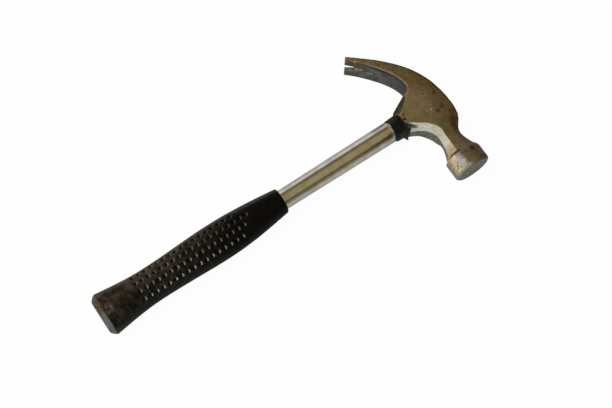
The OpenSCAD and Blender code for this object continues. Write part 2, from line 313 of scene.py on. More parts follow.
def chromed_tube(material):
    """Tube with softened ends, tapered between the grip and the compound."""
    low, high, edge = TUBE_LOW[0], TUBE_HIGH[0], TUBE_EDGE
    inner, grip_inner = TUBE_R - TUBE_WALL, TUBE_GRIP_R - TUBE_WALL
    grip_end = [(low + edge, grip_inner), (low, grip_inner + edge), (low, TUBE_GRIP_R - edge),
                (low + edge, TUBE_GRIP_R)]
    taper = [(mix(GRIP_LEN, TUBE_MOUTH, t), mix(TUBE_GRIP_R, TUBE_R, t)) for t in np.linspace(0, 1, 30)]
    head_end = [(high - edge, TUBE_R), (high, TUBE_R - edge), (high, inner + edge), (high - edge, inner)]
    bore = [(TUBE_MOUTH, inner), (GRIP_LEN, grip_inner)]
    piece = lathe("chromed_tube", grip_end + taper + head_end + bore, 128, joined=True)
    finish_piece(piece, material, "handle_tube")


def driven_plug(material):
    """Plug with a shallow ring and a centre mark turned into its outer end."""
    low, high, r = PLUG_LOW[0], PLUG_HIGH[0], PLUG_HIGH[2]
    profile = [
        (low, 0.4), (low, r - 1), (low + 1, r), (high - 0.5, r), (high - 0.15, r - 0.15), (high, r - 0.5),
        (high, 5.2), (high - 0.25, 5.0), (high - 0.25, 4.4), (high, 4.2), (high, 1.6), (high - 0.9, 0.4),
    ]
    finish_piece(lathe("driven_plug", profile, 96), material, "eye_plug")


# Sealing compound

# Where the compound meets the socket's mouth, and how far it laps over it
SEAL_MOUTH = SEAL_HIGH[0] - 0.4
SEAL_LAP = 0.35
# Length between the claw side and the face side, and what each of these two sides adds
SEAL_LENGTH = 8.6
SEAL_CLAW_EXTRA = 1.0
SEAL_FACE_EXTRA = 1.7
# Angle, reach and half sizes of the drip on the face side
DRIP_TURN = 192.0
DRIP_REACH = 3.4
DRIP_HALF_TURN = 0.26
DRIP_HALF_LENGTH = 1.1


def seal_compound(material):
    """Ragged ring of compound, a thin smear on the claw side and thick on the face side, with a drip."""
    around, rings = 176, 44
    under = TUBE_R - 0.1
    turn = np.linspace(0, 2 * np.pi, around, endpoint=False)
    t, w = np.meshgrid(np.linspace(0, 1, rings), turn, indexing="ij")
    unit = np.stack([np.zeros_like(w), np.cos(w), np.sin(w)], -1)
    claw, face = ease((np.cos(w) - 0.3) / 0.6), ease((-np.cos(w) - 0.4) / 0.6)
    ragged = 0.8 * field(unit * 10 + 5, 3.2, 11) + 0.5 * field(unit * 10, 1.3, 12)
    start = SEAL_MOUTH - SEAL_LENGTH - SEAL_CLAW_EXTRA * claw - SEAL_FACE_EXTRA * face
    x = mix(start + ragged * mix(1.0, 0.6, face), SEAL_MOUTH + SEAL_LAP, t)
    here = np.stack([x, unit[..., 1] * 9.5, unit[..., 2] * 9.5], -1)
    lumps = 0.4 * field(here, 2.6, 13) + 0.3 * field(here, 1.2, 14) + 0.1 * field(here, 0.6, 15)
    skin = 0.15 + mix(1.0, 0.35, claw) * (0.4 * ease(t * 4) + 1.05 * t + lumps * ease(t * 4))
    beside = (w - math.radians(DRIP_TURN)) / DRIP_HALF_TURN
    along = (x - SEAL_MOUTH + 0.6) / DRIP_HALF_LENGTH
    drip = DRIP_REACH * np.exp(-beside ** 2 - along ** 2)
    radius = np.where(t == 0, under, under + np.clip(skin, 0.05, 2.4) + drip)
    outer = turned(x, radius, w).reshape(-1, 3)
    inner = turned(SEAL_MOUTH + SEAL_LAP, under, turn)
    faces = [tuple(reversed(f)) for f in ring_faces(rings + 1, around, joined=True)]
    piece = new_piece("seal_compound", np.vstack([outer, inner]), faces, 60)
    finish_piece(piece, material, "seal_collar")


# Rubber grip

# Distance of the waist from the butt, on the claw side and on the face side, and of the belly
WAIST_X = (44.0, 52.0)
BELLY_X = 107.0
# Half sizes at the butt, waist, belly and front, towards the claw, the face and the flat sides
GRIP_CLAW = (15.5, 12.4, 14.5, 10.1)
GRIP_FACE = (19.6, 15.1, 16.3, 10.2)
GRIP_FLAT = (14.3, 11.9, 12.5, 10.2)
BUTT_ROUND = 4.9
RIM_SHAPE = 1.6
FRONT_ROUND = 1.0
# Power of the section's oval, at the butt and from the waist on
SQUARENESS = (3.3, 2.35)
# Points round the fine outline of a section, and the step between sections
OUTLINE = 1440
SECTION_STEP = 0.2
# Rows of dimples: pitch, first dimple, place across the grip and number in each row
DIMPLE_STEP = 5.52
DIMPLE_FROM = 35.0
DIMPLE_Y = (8.3, 2.6, -4.0, -10.8)
DIMPLE_COUNT = (17, 19, 18, 17)
# Lines between the rows' cells, and the parts that a cell is divided into each way
CELL_Y = (11.2, 5.45, -0.7, -7.4, -14.2)
CELL_PARTS = 14
# Radius and depth of the rings that draw one dimple, from its middle out
DIMPLE_RINGS = ((0, 1.0), (0.5, 1.0), (0.92, 0.93), (1.24, 0.7), (1.54, 0.36), (1.82, 0.1), (2.15, 0.0))


def grip_half(size, x, waist):
    """Half size of the grip at x, from its sizes at the butt, waist, belly and front."""
    to_butt = mix(size[1], size[0], 1 - np.cos(np.pi / 2 * (waist - x) / waist))
    middle = mix(size[1], size[2], ease((x - waist) / (BELLY_X - waist)))
    to_front = mix(size[2], size[3], 1 - np.cos(np.pi / 2 * (x - BELLY_X) / (GRIP_LEN - BELLY_X)))
    return np.where(x < waist, to_butt, np.where(x < BELLY_X, middle, to_front))


def grip_section(x, inset):
    """Fine outline of the grip's section at x, from the claw side over the top, with its arc length."""
    w = np.linspace(0, 2 * np.pi, OUTLINE + 1)
    k = 2 / mix(SQUARENESS[0], SQUARENESS[1], float(ease(x / WAIST_X[0])))
    claw, face = grip_half(GRIP_CLAW, x, WAIST_X[0]), grip_half(GRIP_FACE, x, WAIST_X[1])
    side = np.where(np.cos(w) > 0, claw, face) - inset
    y = np.sign(np.cos(w)) * np.abs(np.cos(w)) ** k * side
    z = np.sign(np.sin(w)) * np.abs(np.sin(w)) ** k * (grip_half(GRIP_FLAT, x, WAIST_X[0]) - inset)
    arc = np.concatenate([[0], np.cumsum(np.hypot(np.diff(y), np.diff(z)))])
    return y, z, arc


def spread(edges, parts):
    """Evenly divided stations between a list of edges."""
    out = [np.linspace(a, b, n, endpoint=False) for a, b, n in zip(edges[:-1], edges[1:], parts)]
    return np.concatenate(out + [[edges[-1]]])


def dimple_warp(a, b, half_x, half_s):
    """Offsets and depth that move a cell's square grid, a and b from -1 to 1, onto rings round its dimple."""
    m = np.maximum(np.abs(a), np.abs(b))
    along_a = np.abs(a) >= np.abs(b)
    safe = np.where(m == 0, 1, m)
    turn = np.pi / 4 * np.where(along_a, b, a) / safe
    cos_t, sin_t = np.cos(turn), np.sin(turn)
    ux = np.where(along_a, np.sign(a) * cos_t, sin_t)
    us = np.where(along_a, sin_t, np.sign(b) * cos_t)
    ring = m * CELL_PARTS / 2
    radius = np.interp(ring, range(len(DIMPLE_RINGS)), [r for r, _ in DIMPLE_RINGS])
    depth = np.interp(ring, range(len(DIMPLE_RINGS)), [d for _, d in DIMPLE_RINGS])
    out = np.clip(ring - (len(DIMPLE_RINGS) - 1), 0, 1)
    return mix(ux * radius, a * half_x, out), mix(us * radius, b * half_s, out), depth * (m < 0.999)


def grip_table():
    """Sections along the grip, resampled to even arc length, with their lengths and the arcs of the rows."""
    xs = np.arange(0, GRIP_LEN + SECTION_STEP, SECTION_STEP)
    shape, length, marks = [], [], []
    for x in xs:
        y, z, arc = grip_section(min(x, GRIP_LEN), 0.0)
        even = np.linspace(0, arc[-1], OUTLINE + 1)
        shape.append((np.interp(even, arc, y), np.interp(even, arc, z)))
        length.append(arc[-1])
        half = len(arc) // 2
        rows = np.clip(CELL_Y + DIMPLE_Y, 0.93 * y[half], 0.93 * y[0])
        marks.append(np.interp(-rows, -y[:half + 1], arc[:half + 1]))
    return xs, np.array(shape), np.array(length), np.array(marks)


def on_grip(table, x, q):
    """Points of the grip's skin at x and share q of the way round, with their outward normals."""
    xs, shape, _, _ = table
    fx = np.clip(x / (xs[1] - xs[0]), 0, len(xs) - 1.001)
    fq = np.mod(q, 1) * OUTLINE
    ix, iq = fx.astype(int), np.minimum(fq.astype(int), OUTLINE - 1)
    tx, tq = fx - ix, fq - iq
    corner = [[shape[ix + a, :, iq + b] for b in (0, 1)] for a in (0, 1)]
    tx, tq = tx[..., None], tq[..., None]
    yz = mix(mix(corner[0][0], corner[0][1], tq), mix(corner[1][0], corner[1][1], tq), tx)
    run = shape[ix, :, (iq + 6) % OUTLINE] - shape[ix, :, (iq - 5) % OUTLINE]
    run /= np.linalg.norm(run, axis=-1, keepdims=True)
    points = np.concatenate([x[..., None], yz], -1)
    normals = np.stack([np.zeros_like(x), run[..., 1], -run[..., 0]], -1)
    return points, normals


def dimple_cells(table, x, q, depth, before, side):
    """Bends the skin's grid round each dimple, on both flat sides."""
    xs, _, length, marks = table
    around = q.shape[1]
    grid = np.linspace(-1, 1, CELL_PARTS + 1)[1:-1]
    a, b = np.meshgrid(grid, grid, indexing="ij")
    for row, count in enumerate(DIMPLE_COUNT):
        middle_at = marks[:, len(CELL_Y) + row]
        for column in range(count):
            centre = DIMPLE_FROM + DIMPLE_STEP * column
            i = before + column * CELL_PARTS + np.arange(1, CELL_PARTS)
            j = side + row * CELL_PARTS + np.arange(1, CELL_PARTS)
            middle = np.interp(centre, xs, middle_at)
            low, high = (np.interp(centre, xs, marks[:, row + k]) for k in (0, 1))
            half_s = np.where(b < 0, middle - low, high - middle)
            dx, ds, deep = dimple_warp(a, b, DIMPLE_STEP / 2, half_s)
            share = (np.interp(centre + dx, xs, middle_at) + ds) / np.interp(centre + dx, xs, length)
            upper, lower = np.ix_(i, j), np.ix_(i, (around - j) % around)
            x[upper], q[upper], depth[upper] = centre + dx, share, deep
            x[lower], q[lower], depth[lower] = centre + dx, 1 - share, deep


def rim_ring(x, inset, q):
    """One ring of the rounded rims, at shares q of the way round."""
    y, z, arc = grip_section(x, inset)
    s = q * arc[-1]
    return np.stack([np.full(len(q), x), np.interp(s, arc, y), np.interp(s, arc, z)], -1)


def rubber_grip(material):
    table = grip_table()
    xs, _, length, marks = table
    cells = max(DIMPLE_COUNT)
    first = DIMPLE_FROM - DIMPLE_STEP / 2
    # Parts of the grid before, after and beside the cells
    before, after, side = 30, 26, 9
    body = spread([BUTT_ROUND, first, first + cells * DIMPLE_STEP, GRIP_LEN - FRONT_ROUND],
                  [before, cells * CELL_PARTS, after])
    arcs = np.array([[np.interp(x, xs, marks[:, k]) for k in range(len(CELL_Y))] for x in body])
    whole = np.interp(body, xs, length)
    parts = [side] + [CELL_PARTS] * (len(CELL_Y) - 1) + [side]
    upper = np.array([spread([0, *row, total / 2], parts) / total for row, total in zip(arcs, whole)])
    q = np.concatenate([upper[:, :-1], 1 - upper[:, :0:-1]], axis=1)
    around = q.shape[1]
    x = np.repeat(body[:, None], around, axis=1)
    depth = np.zeros_like(q)
    dimple_cells(table, x, q, depth, before, side)
    points, normals = on_grip(table, x, q)
    # Fine chips by the butt, drawn out round the grip and a little askew
    askew = points @ np.array([[0.92, 0.39, 0.0], [-0.39, 0.92, 0.0], [0.0, 0.0, 1.0]])
    chips = 0.2 * ease((field(askew, (1.3, 3.4, 2.0), 21) - 0.1) * 2) * np.exp(
        -((points[..., 0] - 9) / 4.5) ** 2 - ((points[..., 1] + 1) / 8) ** 2)
    soft = 0.05 * field(points, 8, 22) + 0.012 * field(points, 1.6, 23)
    seam = 0.1 * np.exp(-(points[..., 2] / 0.35) ** 2)
    points = points + normals * (soft + seam - depth - chips)[..., None]
    rim = [rim_ring(*(BUTT_ROUND * (1 - np.array([np.cos(v), np.sin(v)]) ** RIM_SHAPE)), q[0])
           for v in np.linspace(0, np.pi / 2, 9)[:-1]]
    front = [rim_ring(GRIP_LEN - FRONT_ROUND * (1 - np.sin(v)), FRONT_ROUND * (1 - np.cos(v)), q[-1])
             for v in np.linspace(0, np.pi / 2, 7)[1:]]
    turn = np.arctan2(front[-1][:, 2], front[-1][:, 1])
    hole = TUBE_GRIP_R + 0.06
    bore = [turned(GRIP_LEN, hole + 0.5, turn), turned(GRIP_LEN - 0.4, hole, turn),
            turned(TUBE_LOW[0], hole, turn)]
    rings = rim + list(points) + front + bore
    faces = [tuple(reversed(f)) for f in ring_faces(len(rings), around)]
    piece = new_piece("rubber_grip", np.vstack(rings), faces, 50)
    hollow = np.zeros((len(rings), around))
    hollow[len(rim):len(rim) + len(body)] = depth
    keep_value(piece.data, "hollow", hollow.ravel())
    finish_piece(piece, material, "grip")


# Materials

class Nodes:
    """Short names for building a node tree."""

    def __init__(self, tree):
        self.tree = tree
        tree.nodes.clear()

    def add(self, kind, inputs=None, **settings):
        """New node of a kind, such as Math for ShaderNodeMath."""
        node = self.tree.nodes.new("ShaderNode" + kind)
        for key, value in settings.items():
            setattr(node, key, value)
        for key, value in (inputs or {}).items():
            self.put(node.inputs[key], value)
        return node

    def put(self, socket, value):
        if isinstance(value, bpy.types.NodeSocket):
            self.tree.links.new(value, socket)
        elif isinstance(value, bpy.types.Node):
            self.tree.links.new(value.outputs[0], socket)
        elif socket.type == "RGBA" and len(value) == 3:
            socket.default_value = (*value, 1)
        else:
            socket.default_value = value

    def math(self, operation, a, b=0.0, c=0.0, clamp=False):
        return self.add("Math", {0: a, 1: b, 2: c}, operation=operation, use_clamp=clamp).outputs[0]

    def parts(self, vector):
        return self.add("SeparateXYZ", {0: vector}).outputs

    def join(self, x, y, z):
        return self.add("CombineXYZ", {0: x, 1: y, 2: z}).outputs[0]

    def mask(self, value):
        """A value as it is, or the smooth step that a value, a low and a high limit stand for."""
        return self.step(*value) if isinstance(value, tuple) else value

    def times(self, first, *others):
        """Product of one or more masks."""
        product = self.mask(first)
        for value in others:
            product = self.math("MULTIPLY", product, self.mask(value))
        return product

    def shift(self, value, other, amount):
        """Value plus another, such as noise, times an amount."""
        return self.math("MULTIPLY_ADD", other, amount, value)

    def kept(self, name):
        """Number that the mesh keeps for each point."""
        return self.add("Attribute", attribute_name=name).outputs["Fac"]

    def dot(self, vector, direction):
        return self.add("VectorMath", {0: vector, 1: direction}, operation="DOT_PRODUCT").outputs["Value"]

    def stretch(self, vector, scale):
        return self.add("VectorMath", {0: vector, 1: scale}, operation="MULTIPLY").outputs[0]

    def step(self, value, low, high):
        """Smooth step from 0 at low to 1 at high, whichever of the two is the larger."""
        start, end = (0.0, 1.0) if low <= high else (1.0, 0.0)
        return self.add("MapRange", {
            "Value": value, "From Min": min(low, high), "From Max": max(low, high),
            "To Min": start, "To Max": end}, interpolation_type="SMOOTHSTEP").outputs[0]

    def noise(self, vector, scale, detail=3, rough=0.6):
        return self.add("TexNoise", {
            "Vector": vector, "Scale": scale, "Detail": detail, "Roughness": rough}).outputs[0]

    def mix(self, share, a, b):
        return self.add("Mix", {0: self.mask(share), 6: a, 7: b}, data_type="RGBA").outputs[2]

    def blend(self, share, a, b):
        return self.add("Mix", {0: self.mask(share), 2: a, 3: b}, data_type="FLOAT").outputs[0]

    def ramp(self, value, low, high, start, end):
        """Colour that goes from one written colour to another as a value goes from low to high."""
        return self.mix((value, low, high), rgb(start), rgb(end))

    def tint(self, colour, other, *masks):
        """Colour with another over it, written or worked out, by the product of the masks."""
        return self.mix(self.times(*masks), colour, rgb(other) if isinstance(other, str) else other)

    def layers(self, colour, *tints):
        """Colour with tints over it in order, each another colour and its masks."""
        for tint in tints:
            colour = self.tint(colour, *tint)
        return colour

    def spot(self, place, centre, radius, ragged, amount):
        """1 near a point, falling to 0 round the radius, with an edge that a noise value makes ragged."""
        away = self.add("VectorMath", {0: place, 1: centre}, operation="DISTANCE")
        away = self.shift(away.outputs["Value"], self.math("SUBTRACT", ragged, 0.5), amount)
        return self.step(away, radius * 1.3, radius * 0.45)

    def dabs(self, colour, place, spots, ragged, amount):
        """Colour with ragged spots over it, from the place, radius, written colour and strength of each."""
        for x, y, z, radius, other, strength in spots:
            near = self.spot(place, (x, y, z), radius, ragged, amount * radius)
            colour = self.tint(colour, other, near, strength)
        return colour


def rgb(text):
    """Linear colour of a written sRGB colour such as 64553A."""
    value = [int(text[i:i + 2], 16) / 255 for i in (0, 2, 4)]
    return tuple(v / 12.92 if v <= 0.04045 else ((v + 0.055) / 1.055) ** 2.4 for v in value)


def new_material(name):
    """Material with its node builder, the place on the piece in millimetres and the piece's own normal."""
    material = bpy.data.materials.new(name)
    material.use_nodes = True
    n = Nodes(material.node_tree)
    where = n.add("TexCoord")
    return material, n, n.stretch(where.outputs["Object"], (1000, 1000, 1000)), where.outputs["Normal"]


def close_material(n, colour, rough, metallic, height, bump_mm, strength, specular=0.5):
    """Principled shader with its bump, from the values worked out for a material."""
    shader = n.add("BsdfPrincipled", {
        "Base Color": colour, "Roughness": rough, "Metallic": metallic, "Specular IOR Level": specular})
    bump = n.add("Bump", {"Height": height, "Distance": bump_mm * MM, "Strength": strength})
    n.put(shader.inputs["Normal"], bump)
    n.add("OutputMaterial", {"Surface": shader})


# Stains of the head's skin: place, radius, colour and strength
STAINS = (
    (301.8, 22.7, 12.8, 5.6, "6A4E24", 0.4), (310.2, 21.7, 12.8, 1.7, "6E4C1C", 0.65),
    (298.5, 26.5, 13.2, 2.4, "6A4A1A", 0.6), (303, 15, 12.8, 3, "6E5A46", 0.45),
    (311.5, -0.8, 12.8, 4.6, "684E42", 0.45), (291, 47, 13.5, 5, "675828", 0.6),
    (298.5, 45, 13, 3, "44432F", 0.7), (289, 38.5, 13, 4, "6E5A40", 0.45),
    (281, 58, 14, 4, "6A5834", 0.5), (274, 64.5, 14.2, 3, "6E5646", 0.6),
    (313.8, -21.5, 12.4, 3, "33200E", 0.8), (312, -25, 11, 3.2, "38240F", 0.8),
    (316.5, -16, 12.6, 3.4, "4A3018", 0.7), (310, -19, 12.6, 3.2, "54401E", 0.6),
    (304, -18, 12.8, 5, "5A5630", 0.5), (296, 3, 12.8, 5, "786856", 0.5),
    (293, 10, 12.8, 4, "7A7052", 0.5), (313.1, 22.3, 12.6, 1.7, "382808", 0.85),
    (316.6, 13.2, 12.6, 1.5, "3A2A10", 0.85), (313.5, 4.5, 12.7, 2, "3C2C0C", 0.8),
    (312.1, -8.2, 12.7, 2.3, "40300F", 0.75), (307.1, -9.8, 12.7, 1.8, "3A2A0A", 0.85),
    (308.8, 16, 12.7, 1.4, "45340F", 0.7), (305.4, -10.8, 12.7, 1.2, "6E4A2A", 0.5),
    (303.6, -11.1, 12.7, 1.2, "764A2C", 0.55), (301.8, -11.2, 12.7, 1.1, "6E482C", 0.45),
    (303.4, -6, 12.8, 0.8, "C0B896", 0.8), (280.2, 6.8, 12, 1.5, "2A1C0C", 0.95),
    (283, 5.6, 12.8, 1, "35260F", 0.9), (282.7, 2.9, 12.8, 1.2, "35260F", 0.9),
    (279.3, 4.4, 12.4, 1.5, "A0875F", 0.85), (282.2, 7.8, 12.2, 1.6, "967E5A", 0.8),
    (303, -48.5, 14.5, 3.6, "64504A", 0.6), (307, -55.5, 15.3, 3.4, "675A34", 0.6),
    (311, -51, 14.5, 2.7, "302C1A", 0.75), (305.5, -59.5, 15, 3.2, "7C6C62", 0.45),
    (313.6, -55, 13, 3, "585A48", 0.7), (298.1, 29.3, 13.6, 4.5, "54452C", 0.5),
    (310.9, -50.1, 14.3, 1.3, "1C1208", 0.95), (312.2, -52.6, 13.8, 0.8, "20160A", 0.8),
    (313.2, -54.6, 13.2, 0.8, "241A0C", 0.7), (304.7, -50.4, 15.4, 1.2, "33240F", 0.6),
    (316.8, -60.8, 10, 2.6, "24120C", 0.95), (313.5, -60.8, 12.8, 2, "34190F", 0.85),
    (310.8, -60.8, 13.8, 1.2, "3A2018", 0.8), (304, -38, 9.8, 3.5, "6C5648", 0.6),
    (306.5, -41.5, 10.8, 3, "605048", 0.6), (303, -27, 9.4, 3.5, "5E5634", 0.6),
)
# Spots on the worn steel: painted highlights and glints (the near-white ones), stains, rust in dents and
# smears of compound
GLINTS_AND_STAINS = (
    (275.8, 60.9, 13.8, 0.9, "DCD0C0", 0.8), (271.6, 65.8, 12, 1.6, "A08C84", 0.7),
    (278.2, 61, -3.8, 1.1, "D8CEC4", 0.85), (281.3, 58, -3, 1.2, "D8CEC4", 0.85),
    (279.8, 59.4, -3.4, 1.2, "AFA49C", 0.8), (274.6, 64, -4.3, 1.8, "8A7A72", 0.8),
    (285.4, 51.4, -1.4, 3, "84928C", 0.8), (283.1, 47.6, 7, 4.2, "76857F", 0.85),
    (287.1, 44.5, 5, 4, "6E7A76", 0.8), (289.8, 43.8, -1.2, 3.4, "7E7478", 0.8),
    (295.3, 33, 0.5, 3, "6C706A", 0.6), (281, 55.6, -7.5, 3, "82847E", 0.6),
    (290.6, 42, -8, 3.4, "74766E", 0.5), (280.1, -5.6, 11.3, 2, "26261F", 0.95),
    (281.6, -6.9, 10.5, 2.3, "3A3B32", 0.9), (283, -8.1, 10.1, 2.2, "2A2B24", 0.9),
    (284.6, -9.4, 9.5, 2.1, "484A3E", 0.85), (286.1, -10.4, 9.2, 1.6, "5C5F52", 0.8),
    (279.2, -7, 9.4, 1.8, "0C0C0C", 0.97), (280, -8.4, 7.6, 1.9, "0C0D10", 0.97),
    (279.8, -9.8, 5.2, 1.7, "101014", 0.97), (293.6, -55.8, 10.3, 0.9, "5E4828", 0.85),
    (293, -57.2, 9.5, 0.9, "6A4E2C", 0.85), (294.9, -54, 11.4, 0.8, "7A6038", 0.7),
    (295.4, -58.6, 11.6, 0.8, "7E6844", 0.7), (290.2, -60.8, 1.5, 3.6, "868884", 0.85),
    (293.4, -45.6, 6.6, 2, "C8A060", 0.75), (297, -60.6, 13, 1.6, "B4BEB0", 0.8),
    (295.4, -48.8, 11.2, 2.2, "F2E2CC", 0.95), (280.9, -8.8, 7.6, 1.9, "0C0D10", 0.97),
    (298.6, -55.6, 13.8, 2.2, "C8CCD2", 0.8), (296.8, -51.5, 12.6, 2.4, "D2CCC8", 0.8),
)
# Where the poll's side begins
POLL_FROM = (-45.8, -47.2)


def steel_skin(n, place, normal):
    """Places, directions, noises and kept numbers that the parts of the forged steel share."""
    px, py, pz = n.parts(place)
    nx, ny, nz = n.parts(normal)
    return SimpleNamespace(
        place=place, px=px, py=py, pz=pz, nx=nx, ny=ny, up=n.math("ABSOLUTE", nz),
        cloud=n.noise(place, 0.22, 5), fine=n.noise(place, 1.6, 4),
        ragged=n.noise(place, 0.9), mottle=n.noise(place, 0.75),
        poll=n.step(py, *POLL_FROM), butt_side=n.step(nx, -0.12, -0.45),
        edge=n.kept("edge"), outward=n.kept("outward"))


def patina(n, s):
    """Olive-brown skin of the cheeks and the claw, darker towards the crown, with specks and draw marks."""
    olive = n.ramp(s.fine, 0.36, 0.64, "857955", "736747")
    umber = n.ramp(s.fine, 0.36, 0.64, "725B38", "5E4A2A")
    colour = n.mix((n.shift(s.px, s.cloud, 14.0), 304, 323), olive, umber)
    specks = n.noise(s.place, 0.8, 2, 0.5)
    along, across = n.dot(s.place, (-0.62, 0.78, 0.0)), n.dot(s.place, (0.78, 0.62, 0.0))
    drawn = n.noise(n.join(n.times(along, 0.16), across, n.times(along, 0.05)), 0.9, 4)
    return n.layers(
        colour,
        ("524020", (s.cloud, 0.54, 0.68), 0.5),
        ("8A7A62", (n.noise(s.place, 0.35, 2, 0.5), 0.5, 0.62), 0.35),
        ("56441F", (s.mottle, 0.46, 0.36), 0.42),
        ("93845F", (s.mottle, 0.56, 0.68), 0.35),
        ("33240C", (specks, 0.6, 0.66), (s.px, 296, 307), 0.8),
        ("44361C", (drawn, 0.5, 0.62), (s.py, 26, 38), 0.6),
        ("4E3C20", (n.shift(s.py, s.cloud, 8.0), 14, 26), 0.35),
        ("4A361C", (s.px, 304, 316), 0.38),
        ("66503A", (n.shift(s.py, s.mottle, 6.0), 4, -4), 0.35),
        ("6A5848", s.poll, 0.35))


def socket_lines(n, s, colour):
    """Lines along the socket's claw side, which runs obliquely over the cheek."""
    across, along = n.dot(s.place, SOCKET_ACROSS), n.dot(s.place, SOCKET_ALONG)
    lines = n.noise(n.join(across, n.times(along, 0.12), 0.0), 1.3, rough=0.55)
    side = n.times((across, -172.0, -167.0), (s.px, 297, 290), (s.py, -1.0, 3.0))
    colour = n.tint(colour, "96825F", (lines, 0.52, 0.6), side, 0.6)
    return n.tint(colour, "3E2E18", (lines, 0.46, 0.38), side, 0.7)


def dark_chamfers(n, s, colour):
    """Darker chamfer of the socket, and darker crown side, painted shade where it faces away from the window.
    Returns the colour and their share.
    """
    bevel = n.times((s.px, 294, 291), (s.ny, 0.35, 0.55), (s.py, 3, 5))
    tan = n.ramp(s.mottle, 0.42, 0.56, "3A2A18", "70583A")
    tan = n.tint(tan, "2E2012", (n.shift(s.pz, s.mottle, 3.0), 10.5, 8.5))
    # Crown side facing away from the window: painted shade
    crown = n.times((s.nx, 0.3, 0.55), (s.py, -46, -43))
    brown = n.layers(
        n.ramp(s.mottle, 0.44, 0.58, "3A2C18", "54452E"),
        ("2C2116", (n.shift(s.pz, s.mottle, 3.0), 11.0, 8.0)),
        ("6E604A", (n.shift(s.py, s.mottle, 6.0), -21, -31)))
    return n.layers(colour, (tan, bevel, 0.9), (brown, crown, 0.85)), n.math("MAXIMUM", crown, bevel)


def dark_walls(n, s, colour):
    """Inside of the claw, and the neck's and the socket's sides, with painted shade deeper into the claw's
    throat and under its upper edge. Returns the colour and their share.
    """
    drawn = n.noise(n.stretch(s.place, (0.1, 0.1, 1.0)), 1.3, 4)
    walls = n.times((s.up, 0.5, 0.3), (s.nx, 0.24, 0.06))
    # Under the upper edge of the claw the wall is painted nearly black as shade, and brown at the tip
    brown_tip = n.ramp(s.ragged, 0.4, 0.58, "7A6452", "38281A")
    shade = n.mix((s.py, 49, 53), rgb("2E2B28"), brown_tip)
    upper = n.shift(n.shift(s.pz, drawn, 3.0), n.step(s.py, 49, 54), 6.0)
    steel = n.layers(
        n.ramp(drawn, 0.4, 0.62, "62655F", "383A35"),
        ("727570", (s.cloud, 0.5, 0.66), 0.5),
        # Darker into the claw's throat as painted shade
        ("2C2D29", (s.py, 40, 24), 0.4),
        (n.ramp(s.ragged, 0.4, 0.6, "9A9B98", "666764"), (s.py, -2, -8), 0.85),
        ("303236", (n.noise(s.place, 0.45), 0.46, 0.6), 0.45),
        ("8C8E88", (n.noise(s.place, 0.6, 4, 0.65), 0.54, 0.64), (s.pz, 4, -4), (s.py, 20, 28), 0.6),
        (shade, (upper, 9.0, 12.5), (s.py, 16, 22)))
    return n.tint(colour, steel, walls), walls


def slot_walls(n, s, colour):
    """Walls of the nail slot."""
    slot = n.times((s.up, 0.3, 0.55), (n.math("ABSOLUTE", s.pz), 7.5, 6.5), (s.py, 30, 34))
    steel = n.layers(
        n.ramp(s.ragged, 0.42, 0.58, "7E7E78", "44443E"),
        ("565252", (s.py, 57, 50)),
        (n.ramp(s.ragged, 0.42, 0.58, "6A5A4C", "3A2E24"), (s.pz, 2.0, 4.0)))
    return n.tint(colour, steel, slot, 0.85)


def pale_chamfers(n, s, colour):
    """Bright chamfers of the neck and the socket that face the handle: bare steel with the window's
    reflection painted in. Returns the colour and their share.
    """
    bevel = n.times((s.up, 0.35, 0.48), (s.up, 0.93, 0.84))
    neck = n.times(bevel, s.butt_side, (s.py, -4.0, -6.0), (s.py, -47.0, -45.4))
    rosy = n.ramp(s.fine, 0.4, 0.68, "E6D6C2", "C8B8A0")
    tan = n.ramp(s.fine, 0.4, 0.68, "D8C896", "B09E74")
    pale = n.layers(
        n.ramp(s.fine, 0.4, 0.66, "F2F3EC", "D8D9CE"),
        ("A6A898", (s.ragged, 0.5, 0.66), 0.3),
        ("9FA295", (n.noise(s.place, 0.45), 0.5, 0.62), 0.35),
        # Near-white painted reflection along the neck
        ("FFFDEE", (s.py, -20, -28), (s.fine, 0.62, 0.42), 0.6),
        (n.mix((s.py, -38, -42), rosy, tan), (n.shift(s.py, s.fine, -4.0), -36, -40)))
    return n.tint(colour, pale, neck), neck


def poll_wear_and_highlight(n, s, colour):
    """Side of the poll that faces the handle: a bluish band painted as a highlight, cream worn steel with a
    painted reflection in it, mauve grey where it faces the handle most, and painted shade in the crease at
    the neck. Returns the colour and the share of the painted highlight band.
    """
    band = n.shift(n.shift(s.nx, s.fine, 0.12), n.noise(s.place, 0.42, 4, 0.65), 0.5)
    # Bluish band: a painted highlight
    painted_highlight = n.layers(
        n.ramp(s.py, -50, -54, "BEB0AC", "C2C6CE"),
        ("C0C2B4", (s.py, -58.0, -60.0)),
        ("8A8178", (s.ragged, 0.48, 0.6), 0.75))
    # Cream worn steel with a painted reflection in it
    cream = n.tint(n.ramp(s.fine, 0.46, 0.66, "F0DCB4", "D8B47C"), "9A835C", (s.ragged, 0.56, 0.66), 0.6)
    mauve = n.ramp(s.ragged, 0.4, 0.62, "8E8886", "686260")
    mauve = n.tint(mauve, "868884", (n.math("ABSOLUTE", s.nx), 0.9, 0.97))
    at_face = n.times((n.shift(s.py, s.ragged, 1.6), -58.4, -60.0), 0.9)
    # Share of the painted highlight band
    worn = n.times(s.poll, (n.shift(band, at_face, -0.3), 0.1, -0.2))
    crease = n.math("ABSOLUTE", n.math("ADD", s.py, 46.1))
    colour = n.layers(
        colour,
        (painted_highlight, worn),
        (cream, s.poll, (n.shift(band, at_face, 0.16), -0.22, -0.44)),
        (mauve, s.poll, (band, -0.48, -0.7)),
        # Painted shade in the crease where the neck meets the poll
        ("24180E", (crease, 1.3, 0.6), (s.px, 303.5, 301.0), (s.pz, 7.0, 9.0), 0.9))
    return colour, worn


